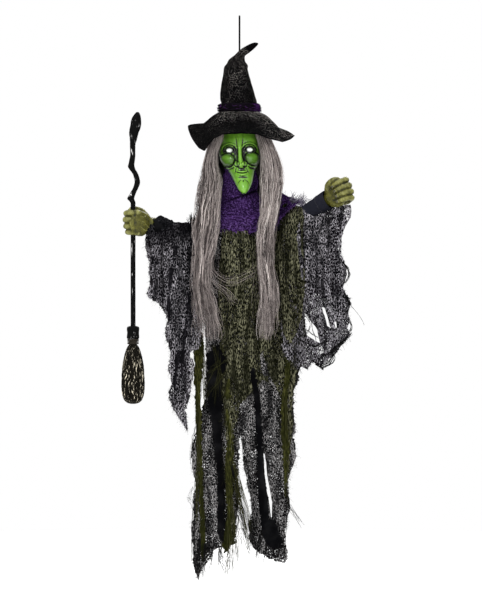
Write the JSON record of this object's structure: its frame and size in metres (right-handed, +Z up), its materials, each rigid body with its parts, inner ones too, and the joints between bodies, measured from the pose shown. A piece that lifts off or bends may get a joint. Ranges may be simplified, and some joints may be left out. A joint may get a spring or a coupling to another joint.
{
  "type": "animated hanging witch figure",
  "caption": "Life-size hanging witch figure with a turning head, hinged arms, a sliding broom and a battery sound unit in the chest.",
  "frame": {"origin": "inside top of the hanging loop, on the vertical axis of the neck post that the head turns on", "axes": "+Z up, the face looks along -Y, the broom is on the -X side"},
  "size_m": [0.6564, 0.2992, 1.5835],
  "materials": {
    "housing_black": "moulded, fine texture",
    "steel": "plain bright steel",
    "brass_contact": "bright strip",
    "cord_black": "braided cord",
    "mask_green": "glossy green latex with black wash in the creases",
    "head_black": "moulded shell",
    "eye_white": "clear-coated milky lens",
    "board_green": "lacquered board",
    "nylon_white": "moulded nylon",
    "hat_black": "black felt under a glitter mesh",
    "hat_band_purple": "crumpled gauze",
    "hair_grey": "loose synthetic hair",
    "cowl_purple": "creased gauze",
    "gauze_black": "open-weave black gauze with grey flecks",
    "gauze_olive": "open-weave olive gauze, frayed",
    "dress_black": "plain black cloth",
    "sleeve_navy": "plain dark cloth",
    "hand_olive": "olive latex with a dark wash",
    "broom_black": "black with grey dry brushing",
    "brush_bronze": "dark with grey and bronze dry brushing",
    "battery_wrap": "plain printed-free wrap",
    "speaker_cone": "pressed paper cone in a steel frame",
    "button_red": "moulded",
    "sensor_dark": "dark window"
  },
  "bodies": {
    "torso": {"chest_front_housing": "housing_black", "chest_rear_housing": "housing_black", "housing_screws": "steel", "neck_post": "steel", "post_cap": "housing_black", "hanging_loop": "cord_black", "post_foot_clamp": "housing_black", "neck_bush": "nylon_white", "gearbox": "nylon_white", "motor": "steel", "battery_tray": "housing_black", "batteries": "battery_wrap", "battery_contacts": "brass_contact", "speaker": "speaker_cone", "circuit_board": "board_green", "sound_sensor": "sensor_dark", "switch_body": "housing_black", "button_switch": "housing_black", "broom_shoulder_bracket": "housing_black", "free_shoulder_bracket": "housing_black", "shoulder_pins": "steel", "cowl": "cowl_purple", "underdress": "dress_black", "robe_front": "gauze_black", "robe_back": "gauze_black", "olive_overlay": "gauze_olive", "hair_broom_side_lower": "hair_grey", "hair_free_side_lower": "hair_grey", "hair_back_lower": "hair_grey"},
    "head": {"neck_sleeve": "nylon_white", "head_gear": "nylon_white", "face_mask": "mask_green", "head_back_shell": "head_black", "eye_lenses": "eye_white", "eye_led_board": "board_green", "hat_crown": "hat_black", "hat_brim": "hat_black", "hat_band": "hat_band_purple", "hair_broom_side_upper": "hair_grey", "hair_free_side_upper": "hair_grey", "hair_back_upper": "hair_grey"},
    "drive_pinion": {"drive_pinion": "nylon_white"},
    "arm_broom": {"broom_arm_rod": "housing_black", "broom_undersleeve": "sleeve_navy", "broom_hand": "hand_olive"},
    "arm_free": {"free_arm_rod": "housing_black", "free_undersleeve": "sleeve_navy", "free_hand": "hand_olive"},
    "drape_broom": {"broom_sleeve_drape": "gauze_black"},
    "drape_free": {"free_sleeve_drape": "gauze_black"},
    "broom": {"broom_handle": "broom_black", "broom_crook": "broom_black", "broom_cap": "broom_black", "broom_binding": "brush_bronze", "broom_brush": "brush_bronze"},
    "battery_cover": {"battery_cover": "housing_black"},
    "switch_slider": {"switch_slider": "nylon_white"},
    "try_button": {"try_button": "button_red"}
  },
  "joints": [
    {"name": "head_turn", "type": "hinge", "parent": "torso", "child": "head", "pos_m": [0, 0, -0.4], "axis": [0, 0, 1], "range_deg": [-30, 30]},
    {"name": "pinion_spin", "type": "hinge", "parent": "torso", "child": "drive_pinion", "pos_m": [0.036, 0, -0.5725], "axis": [0, 0, 1], "range_deg": [-65, 65]},
    {"name": "shoulder_broom_side", "type": "hinge", "parent": "torso", "child": "arm_broom", "pos_m": [-0.1, 0, -0.596], "axis": [-0.5, 0.866, 0], "range_deg": [-12, 15]},
    {"name": "shoulder_free_side", "type": "hinge", "parent": "torso", "child": "arm_free", "pos_m": [0.1, 0, -0.596], "axis": [-0.5, -0.866, 0], "range_deg": [-30, 15]},
    {"name": "drape_hang_broom_side", "type": "hinge", "parent": "arm_broom", "child": "drape_broom", "pos_m": [-0.1866, -0.05, -0.59513], "axis": [-0.5, 0.866, 0], "range_deg": [-16, 13]},
    {"name": "drape_hang_free_side", "type": "hinge", "parent": "arm_free", "child": "drape_free", "pos_m": [0.1788, -0.0455, -0.55453], "axis": [-0.5, -0.866, 0], "range_deg": [-16, 31]},
    {"name": "broom_slide", "type": "slide", "parent": "arm_broom", "child": "broom", "axis": [0, 0, 1], "range_m": [0, 0.15]},
    {"name": "battery_cover_slide", "type": "slide", "parent": "torso", "child": "battery_cover", "axis": [0, 0, -1], "range_m": [0, 0.062]},
    {"name": "switch_slide", "type": "slide", "parent": "torso", "child": "switch_slider", "axis": [0, 0, 1], "range_m": [0, 0.006]},
    {"name": "try_button_push", "type": "slide", "parent": "torso", "child": "try_button", "axis": [0, -1, 0], "range_m": [0, 0.002], "stiffness_N_per_m": 400, "springref_m": -0.001}
  ],
  "couplings": [
    {"joint": "pinion_spin", "follows": "head_turn", "ratio": -2},
    {"joint": "drape_hang_broom_side", "follows": "shoulder_broom_side", "ratio": -1},
    {"joint": "drape_hang_free_side", "follows": "shoulder_free_side", "ratio": -1}
  ]
}
